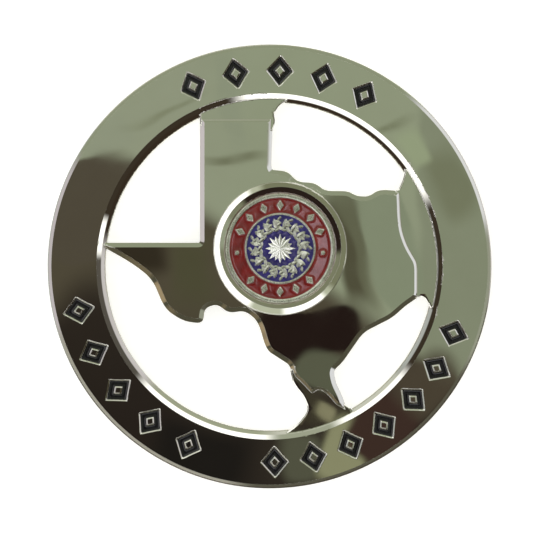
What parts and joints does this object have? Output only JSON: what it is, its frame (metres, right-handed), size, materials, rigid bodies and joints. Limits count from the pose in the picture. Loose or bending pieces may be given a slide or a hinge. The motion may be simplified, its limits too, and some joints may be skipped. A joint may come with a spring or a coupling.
{
  "type": "pierced round police badge",
  "caption": "Round crowned metal badge with a pierced ring, a raised state map, sunk black enamel marks, an enamel medallion in a bezel and a bar pin behind.",
  "frame": {"origin": "on the surface that the badge lies on, under the centre of its round rim", "axes": "+Z out of the badge's face, +Y towards the top of the map, +X to its right"},
  "size_m": [0.057, 0.057, 0.0078],
  "materials": {
    "polished_nickel": "mirror-polished nickel plate over brass",
    "struck_silver": "struck relief, plated and lightly buffed",
    "red_enamel": "glossy filled enamel",
    "blue_enamel": "glossy filled enamel",
    "black_enamel": "glossy black enamel, hand filled",
    "pin_steel": "plated steel pin hardware"
  },
  "bodies": {
    "root": {"badge_plate": "polished_nickel", "seal_disc": "struck_silver", "red_enamel": "red_enamel", "blue_enamel": "blue_enamel", "pin_back": "pin_steel", "mark_top_1": "black_enamel", "mark_top_2": "black_enamel", "mark_top_3": "black_enamel", "mark_top_4": "black_enamel", "mark_top_5": "black_enamel", "mark_left_1": "black_enamel", "mark_left_2": "black_enamel", "mark_left_3": "black_enamel", "mark_left_4": "black_enamel", "mark_left_5": "black_enamel", "mark_right_1": "black_enamel", "mark_right_2": "black_enamel", "mark_right_3": "black_enamel", "mark_right_4": "black_enamel", "mark_right_5": "black_enamel", "mark_right_6": "black_enamel", "mark_right_7": "black_enamel"}
  },
  "joints": []
}
